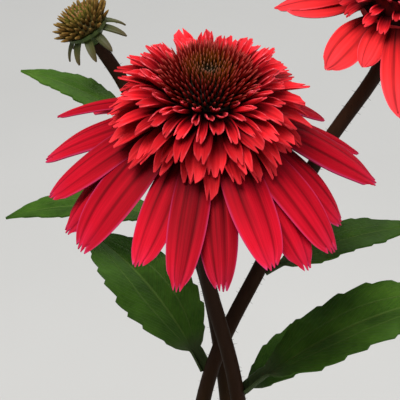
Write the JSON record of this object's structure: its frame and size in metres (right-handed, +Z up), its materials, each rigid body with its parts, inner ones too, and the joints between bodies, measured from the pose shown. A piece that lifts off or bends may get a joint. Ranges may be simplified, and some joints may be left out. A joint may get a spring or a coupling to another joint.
{
  "type": "potted coneflower",
  "caption": "Double red coneflower growing in a plain clay pot: a full bloom, a younger bloom and a bud on upright stems, with toothed leaves and potting soil.",
  "frame": {"origin": "middle of the pot's underside, on the surface that the pot stands on", "axes": "+Z up, -Y the side that the full bloom faces, +X to the right of someone who looks at that side"},
  "size_m": [0.2816, 0.2518, 0.46],
  "materials": {
    "terracotta": "matte, unglazed",
    "soil": "matte, crumbly",
    "stem": "satin",
    "leaf": "satin, veined",
    "bract": "satin",
    "ray_petal": "velvety satin",
    "crown_petal": "velvety satin",
    "cone": "satin, spiny",
    "bud": "satin, spiny"
  },
  "bodies": {
    "root": {"bud_bracts": "bract", "bud_florets": "bud", "bud_leaf_1": "leaf", "bud_leaf_2": "leaf", "bud_leaf_3": "leaf", "bud_leaf_4": "leaf", "bud_stem": "stem", "crown_leaf_1": "leaf", "crown_leaf_2": "leaf", "crown_leaf_3": "leaf", "crown_leaf_4": "leaf", "crown_leaf_5": "leaf", "crown_leaf_6": "leaf", "crown_leaf_7": "leaf", "main_bloom_bracts": "bract", "main_bloom_cone": "cone", "main_bloom_crown": "crown_petal", "main_bloom_rays": "ray_petal", "main_leaf_1": "leaf", "main_leaf_2": "leaf", "main_leaf_3": "leaf", "main_stem": "stem", "pot": "terracotta", "soil": "soil", "young_bloom_bracts": "bract", "young_bloom_cone": "cone", "young_bloom_crown": "crown_petal", "young_bloom_rays": "ray_petal", "young_leaf_1": "leaf", "young_leaf_2": "leaf", "young_leaf_3": "leaf", "young_stem": "stem"}
  },
  "joints": []
}
